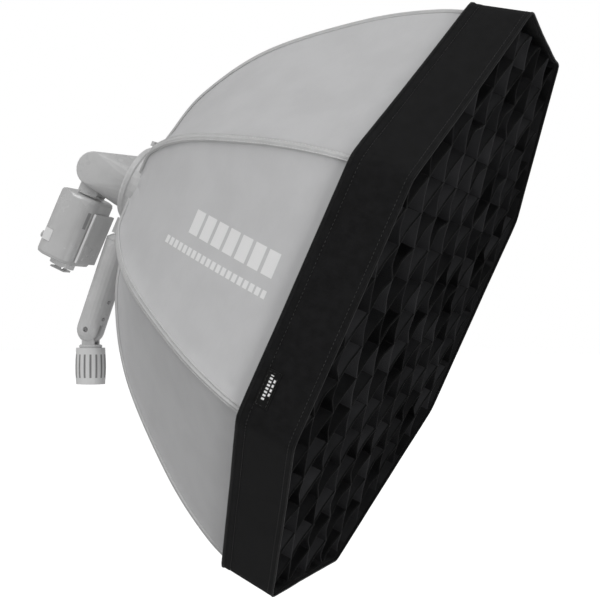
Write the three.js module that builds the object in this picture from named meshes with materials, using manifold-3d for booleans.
// Folding octagonal softbox with its soft grid, tilting handle, stand adapter and a round-headed flash.
// Millimetres. +Z is up, +X is the way the softbox points over the ground, and the origin is the
// centre of the stand adapter's bottom face.
import * as THREE from 'three';
import { mergeVertices } from 'three/addons/utils/BufferGeometryUtils.js';
import { ConvexGeometry } from 'three/addons/geometries/ConvexGeometry.js';
import Module from 'manifold-3d';

const wasm = await Module();
wasm.setup();

// ---- Driving dimensions ----
const SIDES = 8;
const GAP = 0.3;

// Attitude: the softbox looks down by BOX_TILT, about a pivot in the stand adapter.
const BOX_TILT = THREE.MathUtils.degToRad(24.57);
const HANDLE_LEAN = THREE.MathUtils.degToRad(5);
const PIVOT_HEIGHT = 64;
const FRONT_FROM_PIVOT_X = 354;
const FRONT_FROM_PIVOT_Z = 179;

// Softbox, in its own frame: X along the axis with 0 at the front rim, radii to the octagon's corners.
const RIM_RADIUS = 350;
const BAND_DEPTH = 64;
const BAND_REAR_RADIUS = 345.6;
const FABRIC = 1.5;
const SHELL_PROFILE = [
  [-353, 53], [-344, 78], [-318, 138], [-260, 212], [-165, 285], [-92, 325], [-40, 341],
];
const SHELL_STEPS = 16;
const DIFFUSER_X = -38;
const BAFFLE_X = -152;
const BAFFLE_RADIUS = 235;
const LATTICE_REAR = -33;
const LATTICE_FRONT = -4;
const LATTICE_STRIPS = 14;
const LATTICE_PITCH = 50.2;
const LATTICE_STRIP = 2;
const LATTICE_BORDER = 4;
const LABEL_REAR = -53.5;
const LABEL_WIDTH = 14.5;
const LABEL_TOP = -76;
const LABEL_LENGTH = 40;

// Ribs and hub.
const RIB_ROD_RADIUS = 2.4;
const RIB_INSET = 6.5;
const RIB_STEPS = 12;
const HINGE_X = -349;
const HINGE_RADIUS = 44;
const WIRE_RADIUS = 1.2;
const KNUCKLE_RADIUS = 4.3;
const KNUCKLE_WIDTH = 9;
const HUB_REAR = -372;
const HUB_FRONT = -338;
const HUB_BORE_RADIUS = 33;
const HUB_FLANGE_RADIUS = 45.5;
const HUB_DRUM_RADIUS = 48.5;
const HUB_NOSE_RADIUS = 39.3;
const CATCH_HALF_WIDTH = 8;
const SEAT_RADIUS = 35.2;
const SEAT_DEPTH = 4;
const SEAT_RING_BORE = 28.5;

// Handle and stand adapter.
const HANDLE_RADIUS = 16.2;
const HANDLE_TOP = 108;
const HANDLE_CAP_HEIGHT = 7;
const HANDLE_CAP_TOP_RADIUS = 10.5;
const SLOT_NEAR = 5;
const SLOT_FAR = 9.2;
const PIN_RADIUS = 3;
const PIN_HALF_LENGTH = 11.6;
const SCREW_ANGLE = THREE.MathUtils.degToRad(62);
const SCREW_HEIGHTS = { handle_screw_upper: 38, handle_screw_lower: 17 };
const SCREW_HEAD_RADIUS = 1.9;
const SCREW_HEAD_DEPTH = 3;
const SCREW_SHANK_RADIUS = 1.1;
const SCREW_LENGTH = 8;
const BRACKET_HALF_WIDTH = 9;
const BRACKET_FRONT = -359;
const YOKE_FLANGE_RADIUS = 13.4;
const YOKE_FLANGE_HEIGHT = 3.5;
const YOKE_CHEEK_HALF = 7.5;
const COLLAR_HEIGHT = 42.6;
const COLLAR_END_RADIUS = 16.8;
const COLLAR_BELLY_RADIUS = 18;
const COLLAR_BORE_RADIUS = 12.7;
const COLLAR_GROOVES = 16;
const COLLAR_GROOVE_RADIUS = 1.3;
const COLLAR_GROOVE_END = 7.5;
const STEM_RADIUS = 12.4;
const STEM_BORE_RADIUS = 9.8;
const BUSH_RADIUS = 9.5;
const SOCKET_RADIUS = 8;
const SOCKET_DEPTH = 38;

// Flash.
const FLASH_DROP = 3;
const HEAD_RADIUS = 31.5;
const HEAD_FRONT = HUB_REAR - 4.6;
const LENS_RADIUS = 25;
const HEAD_HINGE_X = -419;
const HEAD_HINGE_Z = -5;
const HEAD_HINGE_RADIUS = 20;
const CHEEK_HALF_WIDTH = 28;
const KNUCKLE_HALF_WIDTH = 14;
const FLASH_BODY_REAR = -447;
const FLASH_BODY_FRONT = -396;
const FLASH_HALF_WIDTH = 34;
const FLASH_BODY_TOP = -38;
const FLASH_BODY_BOTTOM = -119;
const SHOULDER_RADIUS = 34.4;
const SHOULDER_HEIGHT = 11.8;
const NECK_DISC_RADIUS = 16;
const NECK_STEM_HALF = 12;
const SCREEN_HALF_WIDTH = 19;
const SCREEN_HEIGHT = 26;
const SCREEN_TOP = FLASH_BODY_BOTTOM + 62;
const DIAL_RADIUS = 11;
const CONTROLS_Z = FLASH_BODY_BOTTOM + 20;
const BUTTON_RADIUS = 4;
const BUTTON_Y = -20;
const PORT_X = [-441, -431];
const PORT_Z = [-102, -88];
const BATTERY_THICKNESS = 5;
const BATTERY_HALF_WIDTH = 26;
const LOCK_RING_RADIUS = 15;
const SHOE_HALF = 9.3;

const COLORS = {
  shell: 0xb4b5b7, handle: 0x9c9da0, metal: 0xb9bcc0, steel: 0xc9ccd0, grid: 0x17171a, white: 0xf2f2ee,
  glass: 0xe8eef0, screen: 0x1d2226,
};

// ---- Solids and meshes ----
function solid(geometry) {
  const bare = geometry.clone();
  for (const name of ['normal', 'uv']) bare.deleteAttribute(name);
  const merged = mergeVertices(bare, 1e-4);
  return new wasm.Manifold(new wasm.Mesh({
    numProp: 3,
    vertProperties: new Float32Array(merged.attributes.position.array),
    triVerts: new Uint32Array(merged.index.array),
  }));
}

function geometryOf(shape) {
  const mesh = shape.getMesh();
  const geometry = new THREE.BufferGeometry();
  geometry.setAttribute('position', new THREE.BufferAttribute(mesh.vertProperties, 3));
  geometry.setIndex(new THREE.BufferAttribute(mesh.triVerts, 1));
  geometry.computeVertexNormals();
  return geometry;
}

function addMesh(group, name, shape, color, roughness = 0.6, metalness = 0) {
  const geometry = shape.isBufferGeometry ? shape : geometryOf(shape);
  const mesh = new THREE.Mesh(geometry, new THREE.MeshStandardMaterial({ color, roughness, metalness }));
  mesh.name = name;
  group.add(mesh);
  return mesh;
}

function box(x0, x1, y0, y1, z0, z1) {
  return new THREE.BoxGeometry(x1 - x0, y1 - y0, z1 - z0)
    .translate((x0 + x1) / 2, (y0 + y1) / 2, (z0 + z1) / 2);
}

const AXIS_ROTATION = {
  x: (g) => g.rotateZ(-Math.PI / 2),
  y: (g) => g,
  z: (g) => g.rotateX(Math.PI / 2),
};

// A cylinder along one axis from a to b.
function rod(axis, radius, a, b, segments = 24) {
  const upright = new THREE.CylinderGeometry(radius, radius, b - a, segments).translate(0, (a + b) / 2, 0);
  return AXIS_ROTATION[axis](upright);
}

// A turned piece: profile points are [position along the axis, radius].
function turned(axis, profile, segments = 24, phase = 0) {
  const points = profile.map(([along, radius]) => new THREE.Vector2(radius, along));
  return AXIS_ROTATION[axis](new THREE.LatheGeometry(points, segments).rotateY(phase));
}

function closed(profile) {
  return [...profile, profile[0]];
}

// A turned ring of rectangular section.
function ring(axis, inner, outer, a, b, segments = 24, phase = 0) {
  return turned(axis, closed([[a, inner], [a, outer], [b, outer], [b, inner]]), segments, phase);
}

// An outline in a plane across X, extruded from x0 to x1. Outline points are (Y, Z).
function plateAcrossX(shape, x0, x1) {
  const geometry = new THREE.ExtrudeGeometry(shape, { depth: x1 - x0, bevelEnabled: false,
    curveSegments: 8 });
  const turn = new THREE.Matrix4().makeBasis(
    new THREE.Vector3(0, 1, 0), new THREE.Vector3(0, 0, 1), new THREE.Vector3(1, 0, 0));
  return geometry.applyMatrix4(turn).translate(x0, 0, 0);
}

function octagon(radius) {
  const points = [];
  for (let i = 0; i < SIDES; i += 1) {
    const angle = ribAngle(i + 1);
    points.push(new THREE.Vector2(radius * Math.sin(angle), radius * Math.cos(angle)));
  }
  return new THREE.Shape(points.reverse());
}

// Angle of rib k from straight up, towards +Y. Ribs are half a side away from the vertical.
function ribAngle(k) {
  return (k - 0.5) * 2 * Math.PI / SIDES;
}

function aboutAxis(geometry, angle) {
  return geometry.clone().rotateX(-angle);
}

// ---- Groups ----
const part = new THREE.Group();
const pivot = new THREE.Group();
pivot.position.set(0, 0, PIVOT_HEIGHT);
pivot.rotation.y = BOX_TILT;
part.add(pivot);
const handle = new THREE.Group();
handle.rotation.y = -HANDLE_LEAN;
pivot.add(handle);
const softbox = new THREE.Group();
softbox.position.set(FRONT_FROM_PIVOT_X, 0, FRONT_FROM_PIVOT_Z);
pivot.add(softbox);

// ---- Stand adapter: yoke, socket tube, bush, pin and twist collar ----
function standAdapter() {
  const yokeBase = COLLAR_HEIGHT + GAP;
  const flangeTop = yokeBase + YOKE_FLANGE_HEIGHT;
  const flange = turned('z', [
    [yokeBase, 0], [yokeBase, YOKE_FLANGE_RADIUS], [flangeTop - 1, YOKE_FLANGE_RADIUS],
    [flangeTop, YOKE_FLANGE_RADIUS - 1.4], [flangeTop, 0],
  ]);
  let body = solid(ring('z', STEM_BORE_RADIUS, STEM_RADIUS, 0, yokeBase))
    .add(solid(rod('z', STEM_RADIUS, SOCKET_DEPTH, yokeBase)))
    .add(solid(flange));
  for (const side of [-1, 1]) {
    const near = side * (SLOT_NEAR + GAP);
    const far = side * (SLOT_FAR - GAP);
    const [y0, y1] = [Math.min(near, far), Math.max(near, far)];
    const cheek = solid(box(-YOKE_CHEEK_HALF, YOKE_CHEEK_HALF, y0, y1, flangeTop - 1, PIVOT_HEIGHT))
      .add(solid(rod('y', YOKE_CHEEK_HALF, y0, y1).translate(0, 0, PIVOT_HEIGHT)));
    body = body.add(cheek);
  }
  body = body.subtract(solid(rod('y', PIN_RADIUS + GAP, -20, 20, 16).translate(0, 0, PIVOT_HEIGHT)));
  addMesh(part, 'stand_adapter', body, COLORS.handle, 0.5);
  addMesh(part, 'spigot_bush', ring('z', SOCKET_RADIUS, BUSH_RADIUS, GAP, SOCKET_DEPTH - GAP),
    COLORS.grid, 0.7);
  const pin = rod('y', PIN_RADIUS, -PIN_HALF_LENGTH, PIN_HALF_LENGTH, 16).translate(0, 0, PIVOT_HEIGHT);
  addMesh(part, 'tilt_pin', pin, COLORS.steel, 0.3, 0.9);
}

function standCollar() {
  const belly = new THREE.QuadraticBezierCurve(
    new THREE.Vector2(6, COLLAR_END_RADIUS + 0.4),
    new THREE.Vector2(COLLAR_HEIGHT * 0.44, 2 * COLLAR_BELLY_RADIUS - COLLAR_END_RADIUS - 0.4),
    new THREE.Vector2(COLLAR_HEIGHT - 6, COLLAR_END_RADIUS + 0.4));
  const side = belly.getPoints(4).map((p) => [p.x, p.y]);
  const outline = [
    [GAP, COLLAR_BORE_RADIUS], [GAP, COLLAR_END_RADIUS], ...side,
    [COLLAR_HEIGHT, COLLAR_END_RADIUS], [COLLAR_HEIGHT, COLLAR_BORE_RADIUS],
  ];
  let collar = solid(turned('z', closed(outline), 36));
  const reach = COLLAR_BELLY_RADIUS + 0.6;
  for (let i = 0; i < COLLAR_GROOVES; i += 1) {
    const angle = i * 2 * Math.PI / COLLAR_GROOVES;
    const groove = rod('z', COLLAR_GROOVE_RADIUS, COLLAR_GROOVE_END, COLLAR_HEIGHT - COLLAR_GROOVE_END, 6)
      .translate(reach * Math.cos(angle), reach * Math.sin(angle), 0);
    collar = collar.subtract(solid(groove));
  }
  addMesh(part, 'stand_collar', collar, COLORS.handle, 0.45);
}

// ---- Handle: tube with a slotted round foot, top cap, bracket to the hub and two screws ----
function handlePieces() {
  const foot = [];
  for (let i = 0; i <= 6; i += 1) {
    const angle = i * Math.PI / 12;
    foot.push([-HANDLE_RADIUS * Math.cos(angle), HANDLE_RADIUS * Math.sin(angle)]);
  }
  let tube = solid(turned('z', [...foot, [HANDLE_TOP, HANDLE_RADIUS], [HANDLE_TOP, 0]]));
  for (const side of [-1, 1]) {
    const [y0, y1] = side > 0 ? [SLOT_NEAR, SLOT_FAR] : [-SLOT_FAR, -SLOT_NEAR];
    tube = tube.subtract(solid(box(-20, 20, y0, y1, -20, 10)));
  }
  tube = tube.subtract(solid(rod('y', PIN_RADIUS + GAP, -20, 20, 16)));
  const face = -HANDLE_RADIUS;
  const shankStart = face + SCREW_HEAD_DEPTH;
  for (const [name, height] of Object.entries(SCREW_HEIGHTS)) {
    const place = (g) => solid(g.rotateZ(SCREW_ANGLE).translate(0, 0, height));
    const screw = place(rod('y', SCREW_HEAD_RADIUS, face - 0.4, shankStart, 12))
      .add(place(rod('y', SCREW_SHANK_RADIUS, shankStart, face + SCREW_LENGTH, 12)));
    tube = tube.subtract(place(rod('y', SCREW_HEAD_RADIUS + GAP, face - 3, shankStart + GAP, 12)))
      .subtract(place(rod('y', SCREW_SHANK_RADIUS + GAP, face, face + SCREW_LENGTH + GAP, 12)));
    addMesh(handle, name, screw, COLORS.steel, 0.35, 0.8);
  }
  addMesh(handle, 'handle_tube', tube, COLORS.handle, 0.5);
  const capTop = HANDLE_TOP + HANDLE_CAP_HEIGHT;
  const cap = turned('z', [
    [HANDLE_TOP + GAP, 0], [HANDLE_TOP + GAP, HANDLE_RADIUS], [HANDLE_TOP + 2, HANDLE_RADIUS],
    [capTop, HANDLE_CAP_TOP_RADIUS], [capTop, 0],
  ]);
  addMesh(handle, 'handle_cap', cap, COLORS.handle, 0.5);
}

// The bracket stands on the handle's cap and hugs the hub ring from below.
function handleBracket() {
  const capTopZ = -FRONT_FROM_PIVOT_Z + (HANDLE_TOP + HANDLE_CAP_HEIGHT) * Math.cos(HANDLE_LEAN) + 1;
  const block = box(HUB_REAR - 2, BRACKET_FRONT, -BRACKET_HALF_WIDTH, BRACKET_HALF_WIDTH, capTopZ, -36);
  const bracket = solid(block).subtract(solid(rod('x', HUB_FLANGE_RADIUS + GAP, -400, -300, 36)));
  addMesh(softbox, 'handle_bracket', bracket, COLORS.handle, 0.5);
}

// ---- Hub: ring with knuckle pockets, steel seat ring, retaining ring, pivot wire, fold catch ----
function hubPieces() {
  const face = HINGE_X - WIRE_RADIUS - GAP;
  const profile = [
    [HUB_REAR, SEAT_RADIUS], [HUB_REAR, HUB_FLANGE_RADIUS - 2.5],
    [HUB_REAR + 3, HUB_FLANGE_RADIUS], [HUB_REAR + 7, HUB_FLANGE_RADIUS],
    [HUB_REAR + 8.5, HUB_FLANGE_RADIUS - 1.5], [face - 8, HUB_FLANGE_RADIUS - 1.5],
    [face - 7, HUB_DRUM_RADIUS], [face, HUB_DRUM_RADIUS], [face, HUB_NOSE_RADIUS],
    [HUB_FRONT, HUB_NOSE_RADIUS], [HUB_FRONT, HUB_BORE_RADIUS],
    [HUB_REAR + SEAT_DEPTH, HUB_BORE_RADIUS], [HUB_REAR + SEAT_DEPTH, SEAT_RADIUS],
  ];
  let hub = solid(turned('x', closed(profile), 36));
  const pocketX = HINGE_X - KNUCKLE_RADIUS - 0.6;
  const pocketHalf = KNUCKLE_WIDTH / 2 + 0.5;
  const pocketFloor = HINGE_RADIUS - KNUCKLE_RADIUS - 0.35;
  const pocket = box(pocketX, pocketX + 60, -pocketHalf, pocketHalf, pocketFloor, 60);
  for (let k = 1; k <= SIDES; k += 1) hub = hub.subtract(solid(aboutAxis(pocket, ribAngle(k))));
  addMesh(softbox, 'hub_ring', hub, COLORS.metal, 0.4, 0.3);
  const seatFront = HUB_REAR + SEAT_DEPTH + 8;
  const seat = ring('x', SEAT_RING_BORE, HUB_BORE_RADIUS - GAP, seatFront - 7, seatFront);
  addMesh(softbox, 'seat_ring', seat, COLORS.steel, 0.3, 0.9);
  const retainer = ring('x', 31, 42, HUB_FRONT + GAP, HUB_FRONT + 4);
  addMesh(softbox, 'retaining_ring', retainer, COLORS.metal, 0.4, 0.3);
  const wireCorner = HINGE_RADIUS / Math.cos(Math.PI / SIDES);
  const wire = new THREE.TorusGeometry(wireCorner, WIRE_RADIUS, 8, SIDES)
    .rotateY(Math.PI / 2)
    .translate(HINGE_X, 0, 0);
  addMesh(softbox, 'rib_wire', wire, COLORS.steel, 0.3, 0.9);
  const catchFoot = HUB_FLANGE_RADIUS + 0.4;
  const finger = (length, height) => solid(
    box(HUB_REAR, HUB_REAR + length, -CATCH_HALF_WIDTH, CATCH_HALF_WIDTH, catchFoot, catchFoot + height));
  addMesh(softbox, 'fold_catch', finger(11, 3.6).add(finger(4, 5.6)), COLORS.handle, 0.5);
}

// ---- Shell: the outer corner profile, its ribs and its half gores ----
const cornerCurve = new THREE.SplineCurve(SHELL_PROFILE.map(([x, r]) => new THREE.Vector2(x, r)));

// A rib lies in the plane of its corner: hinge knuckle, sprung rod and round tip.
function ribSolid() {
  const path = [];
  for (let i = 0; i <= RIB_STEPS; i += 1) {
    const t = 0.03 + 0.925 * i / RIB_STEPS;
    const point = cornerCurve.getPoint(t);
    const along = cornerCurve.getTangent(t);
    path.push(new THREE.Vector3(point.x + along.y * RIB_INSET, 0, point.y - along.x * RIB_INSET));
  }
  const root = new THREE.Vector3(HINGE_X, 0, HINGE_RADIUS);
  const start = root.clone().lerp(path[1], 3.1 / root.distanceTo(path[1]));
  path[0] = start;
  const section = new THREE.Shape();
  section.absarc(0, 0, RIB_ROD_RADIUS, 0, 2 * Math.PI);
  const rodGeometry = new THREE.ExtrudeGeometry(section, {
    steps: RIB_STEPS + 2, curveSegments: 3, bevelEnabled: false,
    extrudePath: new THREE.CatmullRomCurve3(path),
  });
  const knuckle = solid(rod('y', KNUCKLE_RADIUS, -KNUCKLE_WIDTH / 2, KNUCKLE_WIDTH / 2,
    10).translate(root.x, 0, root.z));
  const bore = solid(rod('y', WIRE_RADIUS + GAP, -20, 20, 8).translate(root.x, 0, root.z));
  const tip = path[RIB_STEPS];
  const bead = solid(new THREE.SphereGeometry(3.4, 8, 5).translate(tip.x, tip.y, tip.z));
  return solid(rodGeometry).add(knuckle).subtract(bore).add(bead);
}

// One octagonal skin with a corner straight up, to be cut into wedges that end halfway between two ribs.
function shellSkin() {
  const outer = cornerCurve.getSpacedPoints(SHELL_STEPS);
  const inner = outer.map((p, i) => {
    const along = cornerCurve.getTangent(Math.min(Math.max(cornerCurve.getUtoTmapping(i / SHELL_STEPS),
      0), 1));
    const thick = FABRIC / Math.cos(Math.PI / SIDES);
    return new THREE.Vector2(p.x + along.y * thick, p.y - along.x * thick);
  });
  const loop = [...outer, ...inner.reverse()].map((p) => [p.x, p.y]);
  return solid(turned('x', closed(loop), SIDES));
}

// The wedge between a rib's plane and the plane halfway to the next rib, a little clear of both.
function halfWedge(side) {
  const clear = GAP / 2 + 0.05;
  const reach = 2 * RIM_RADIUS;
  const half = Math.PI / SIDES;
  const apexZ = clear / Math.tan(half / 2);
  const wedge = new THREE.Shape([
    new THREE.Vector2(side * clear, apexZ),
    new THREE.Vector2(side * clear, apexZ + reach),
    new THREE.Vector2(side * (clear + reach * Math.sin(half)), apexZ + reach * Math.cos(half)),
  ]);
  return solid(plateAcrossX(wedge, -400, 50));
}

function shellPieces() {
  const rib = geometryOf(ribSolid());
  const skin = shellSkin();
  const half = {};
  for (const [name, side] of [['left', -1], ['right', 1]]) {
    half[name] = geometryOf(skin.intersect(halfWedge(side)));
  }
  for (let k = 1; k <= SIDES; k += 1) {
    addMesh(softbox, `rib_${k}`, aboutAxis(rib, ribAngle(k)), COLORS.steel, 0.35, 0.8);
    for (const name of Object.keys(half)) {
      addMesh(softbox, `gore_${k}_${name}`, aboutAxis(half[name], ribAngle(k)), COLORS.shell, 0.9);
    }
  }
}

// ---- Diffusers and soft grid ----
// The grid's skirt is an octagonal sleeve, a little wider at the front than at the rear.
function bandSkirt() {
  const thick = FABRIC / Math.cos(Math.PI / SIDES);
  return turned('x', closed([[-BAND_DEPTH, BAND_REAR_RADIUS], [0, RIM_RADIUS], [0, RIM_RADIUS - thick],
    [-BAND_DEPTH, BAND_REAR_RADIUS - thick]]), SIDES, Math.PI / SIDES);
}

// Fabric strips crossing on the diagonals, inside an octagonal border.
function latticePlate() {
  const rearShare = (LATTICE_REAR + BAND_DEPTH) / BAND_DEPTH;
  const bandRadius = BAND_REAR_RADIUS + (RIM_RADIUS - BAND_REAR_RADIUS) * rearShare;
  const outer = bandRadius - FABRIC / Math.cos(Math.PI / SIDES) - 0.5;
  const disc = solid(plateAcrossX(octagon(outer), LATTICE_REAR, LATTICE_FRONT));
  let lattice = disc.subtract(solid(plateAcrossX(octagon(outer - LATTICE_BORDER), LATTICE_REAR - 1,
    LATTICE_FRONT + 1)));
  for (const turn of [Math.PI / 4, -Math.PI / 4]) {
    for (let i = 0; i < LATTICE_STRIPS; i += 1) {
      const middle = (i - (LATTICE_STRIPS - 1) / 2) * LATTICE_PITCH;
      const strip = box(LATTICE_REAR, LATTICE_FRONT, middle - LATTICE_STRIP / 2,
        middle + LATTICE_STRIP / 2, -outer, outer);
      lattice = lattice.add(solid(strip.rotateX(turn)).intersect(disc));
    }
  }
  return lattice;
}

function softPieces() {
  addMesh(softbox, 'inner_baffle', plateAcrossX(octagon(BAFFLE_RADIUS), BAFFLE_X, BAFFLE_X + FABRIC),
    COLORS.white, 0.9);
  const diffuserRadius = BAND_REAR_RADIUS - 4;
  addMesh(softbox, 'front_diffuser', plateAcrossX(octagon(diffuserRadius), DIFFUSER_X,
    DIFFUSER_X + FABRIC), COLORS.white, 0.9);
  addMesh(softbox, 'grid_band', bandSkirt(), COLORS.grid, 0.95);
  addMesh(softbox, 'grid_lattice', latticePlate(), COLORS.grid, 0.9);
  addLabel();
}

// The woven label lies on the side panel that faces -Y, at its rear edge and below its middle.
function addLabel() {
  const flat = (BAND_REAR_RADIUS + 2) * Math.cos(Math.PI / SIDES);
  const label = box(LABEL_REAR, LABEL_REAR + LABEL_WIDTH, -flat - 1, -flat, LABEL_TOP - LABEL_LENGTH,
    LABEL_TOP);
  addMesh(softbox, 'grid_label', label, COLORS.grid, 0.6);
}

// ---- Flash: head on its hinge, neck, body, battery, controls and foot ----
function circlePoints(x, radius, count) {
  const points = [];
  for (let i = 0; i < count; i += 1) {
    const angle = 2 * Math.PI * i / count;
    points.push(new THREE.Vector3(x, radius * Math.cos(angle), radius * Math.sin(angle) - FLASH_DROP));
  }
  return points;
}

function hingeCircle(y, radius, count) {
  const points = [];
  for (let i = 0; i < count; i += 1) {
    const angle = 2 * Math.PI * i / count;
    points.push(new THREE.Vector3(HEAD_HINGE_X + radius * Math.cos(angle), y,
      HEAD_HINGE_Z + radius * Math.sin(angle)));
  }
  return points;
}

function atHinge(geometry) {
  return geometry.translate(HEAD_HINGE_X, 0, HEAD_HINGE_Z);
}

function flashHead() {
  const points = [...circlePoints(HEAD_FRONT, HEAD_RADIUS, 32), ...circlePoints(HEAD_FRONT - 6,
    HEAD_RADIUS, 32)];
  for (const side of [-1, 1]) {
    points.push(...hingeCircle(side * CHEEK_HALF_WIDTH, HEAD_HINGE_RADIUS - 1.5, 24));
    points.push(...hingeCircle(side * (CHEEK_HALF_WIDTH - 1.5), HEAD_HINGE_RADIUS, 24));
  }
  const slotHalf = KNUCKLE_HALF_WIDTH + GAP;
  const head = solid(new ConvexGeometry(points))
    .subtract(solid(atHinge(rod('y', HEAD_HINGE_RADIUS + GAP, -slotHalf, slotHalf, 32))))
    .subtract(solid(box(-460, HEAD_HINGE_X + NECK_STEM_HALF + GAP, -slotHalf, slotHalf, -60, HEAD_HINGE_Z)))
    .subtract(solid(rod('x', LENS_RADIUS + 2, HEAD_FRONT - 8, HEAD_FRONT + 5, 32).translate(0, 0,
    -FLASH_DROP)));
  addMesh(softbox, 'flash_head', head, COLORS.handle, 0.5);
  const noseRear = HEAD_FRONT + GAP;
  const noseFront = HUB_REAR + SEAT_DEPTH - GAP;
  addMesh(softbox, 'flash_front_ring', ring('x', LENS_RADIUS + 0.5, HEAD_RADIUS, noseRear,
    noseFront).translate(0, 0, -FLASH_DROP),
    COLORS.steel, 0.35, 0.7);
  const lens = turned('x', [[noseRear - 4, 0], [noseRear - 4, LENS_RADIUS], [noseFront, LENS_RADIUS],
    [noseFront + 4, 18],
    [noseFront + 6, 0]], 24).translate(0, 0, -FLASH_DROP);
  addMesh(softbox, 'flash_lens', lens, COLORS.glass, 0.15);
}

function flashNeck() {
  const disc = rod('z', NECK_DISC_RADIUS, FLASH_BODY_TOP + GAP + 1, FLASH_BODY_TOP + 4,
    32).translate(HEAD_HINGE_X, 0, 0);
  const stem = box(HEAD_HINGE_X - NECK_STEM_HALF, HEAD_HINGE_X + NECK_STEM_HALF, -KNUCKLE_HALF_WIDTH,
    KNUCKLE_HALF_WIDTH,
    FLASH_BODY_TOP + 3, HEAD_HINGE_Z);
  const lug = atHinge(rod('y', HEAD_HINGE_RADIUS, -KNUCKLE_HALF_WIDTH, KNUCKLE_HALF_WIDTH, 32));
  addMesh(softbox, 'flash_neck', solid(disc).add(solid(stem)).add(solid(lug)), COLORS.handle, 0.5);
}

function roundedOutline(x0, x1, y0, y1, radius) {
  const shape = new THREE.Shape();
  shape.absarc(x1 - radius, y1 - radius, radius, 0, Math.PI / 2);
  shape.absarc(x0 + radius, y1 - radius, radius, Math.PI / 2, Math.PI);
  shape.absarc(x0 + radius, y0 + radius, radius, Math.PI, 1.5 * Math.PI);
  shape.absarc(x1 - radius, y0 + radius, radius, 1.5 * Math.PI, 2 * Math.PI);
  return shape;
}

function roundedBlock(x0, x1, halfWidth, z0, z1, radius, edge) {
  const outline = roundedOutline(x0 + edge, x1 - edge, -halfWidth + edge, halfWidth - edge, radius);
  return new THREE.ExtrudeGeometry(outline, {
    depth: z1 - z0 - 2 * edge, bevelEnabled: edge > 0, bevelThickness: edge, bevelSize: edge,
    bevelSegments: 2,
    curveSegments: 5, steps: 1,
  }).translate(0, 0, z0 + edge);
}

// What is cut from the body's top corners so that it can turn under the hub ring.
function shoulderCut() {
  return solid(ring('z', SHOULDER_RADIUS, 2 * SHOULDER_RADIUS, FLASH_BODY_TOP - SHOULDER_HEIGHT,
    FLASH_BODY_TOP + 5, 48)
    .translate(HEAD_HINGE_X, 0, 0));
}

function flashBody() {
  const shoulder = shoulderCut();
  const shell = solid(roundedBlock(FLASH_BODY_REAR, FLASH_BODY_FRONT, FLASH_HALF_WIDTH, FLASH_BODY_BOTTOM,
    FLASH_BODY_TOP, 14, 4)).subtract(shoulder);
  const rear = FLASH_BODY_REAR;
  const screenWell = box(rear - 5, rear + 1.4, -SCREEN_HALF_WIDTH - GAP, SCREEN_HALF_WIDTH + GAP,
    SCREEN_TOP - SCREEN_HEIGHT - GAP, SCREEN_TOP);
  const dialWell = rod('x', DIAL_RADIUS + GAP, rear - 5, rear + 1.4).translate(0, 0, CONTROLS_Z);
  const buttonWell = rod('x', BUTTON_RADIUS + GAP, rear - 5, rear + 3.5, 16).translate(0, BUTTON_Y,
    CONTROLS_Z);
  const portWell = box(PORT_X[0] - GAP, PORT_X[1] + GAP, -2 * FLASH_HALF_WIDTH, -FLASH_HALF_WIDTH + 1.5,
    PORT_Z[0] - GAP, PORT_Z[1] + GAP);
  const body = [screenWell, dialWell, buttonWell, portWell].reduce((left,
    well) => left.subtract(solid(well)), shell);
  addMesh(softbox, 'flash_body', body, COLORS.handle, 0.45);
  const screen = box(rear + 0.2, rear + 1.1, -SCREEN_HALF_WIDTH, SCREEN_HALF_WIDTH,
    SCREEN_TOP - SCREEN_HEIGHT,
    SCREEN_TOP - GAP);
  addMesh(softbox, 'flash_screen', screen, COLORS.screen, 0.15);
  const dial = rod('x', DIAL_RADIUS, rear - 2.5, rear + 1.1).translate(0, 0, CONTROLS_Z);
  addMesh(softbox, 'flash_dial', dial, COLORS.handle, 0.5);
  const button = rod('x', BUTTON_RADIUS, rear - 1.2, rear + 2, 16).translate(0, BUTTON_Y, CONTROLS_Z);
  addMesh(softbox, 'flash_button', button, COLORS.handle, 0.5);
  const cover = box(PORT_X[0], PORT_X[1], -FLASH_HALF_WIDTH + 0.2, -FLASH_HALF_WIDTH + 1.2, PORT_Z[0],
    PORT_Z[1]);
  addMesh(softbox, 'flash_port_cover', cover, COLORS.handle, 0.6);
  const battery = solid(roundedBlock(FLASH_BODY_FRONT + GAP, FLASH_BODY_FRONT + BATTERY_THICKNESS,
    BATTERY_HALF_WIDTH, FLASH_BODY_BOTTOM + 6, FLASH_BODY_TOP - SHOULDER_HEIGHT - 2, 1.2, 0.8));
  addMesh(softbox, 'flash_battery', battery, COLORS.handle, 0.45);
}

function flashFoot() {
  const shoeTop = FLASH_BODY_BOTTOM - 10;
  const lockRing = ring('z', 8, LOCK_RING_RADIUS, FLASH_BODY_BOTTOM - 7, FLASH_BODY_BOTTOM - GAP - 1);
  addMesh(softbox, 'flash_lock_ring', lockRing.translate(HEAD_HINGE_X, 0, 0), COLORS.handle, 0.5);
  const stem = rod('z', 7.6, shoeTop - 0.5, FLASH_BODY_BOTTOM - GAP).translate(HEAD_HINGE_X, 0, 0);
  const shoe = box(HEAD_HINGE_X - SHOE_HALF, HEAD_HINGE_X + SHOE_HALF, -SHOE_HALF, SHOE_HALF,
    shoeTop - 2, shoeTop);
  addMesh(softbox, 'flash_foot', solid(stem).add(solid(shoe)), COLORS.steel, 0.35, 0.8);
}

standAdapter();
standCollar();
handlePieces();
handleBracket();
hubPieces();
shellPieces();
softPieces();
flashHead();
flashNeck();
flashBody();
flashFoot();

export default part;
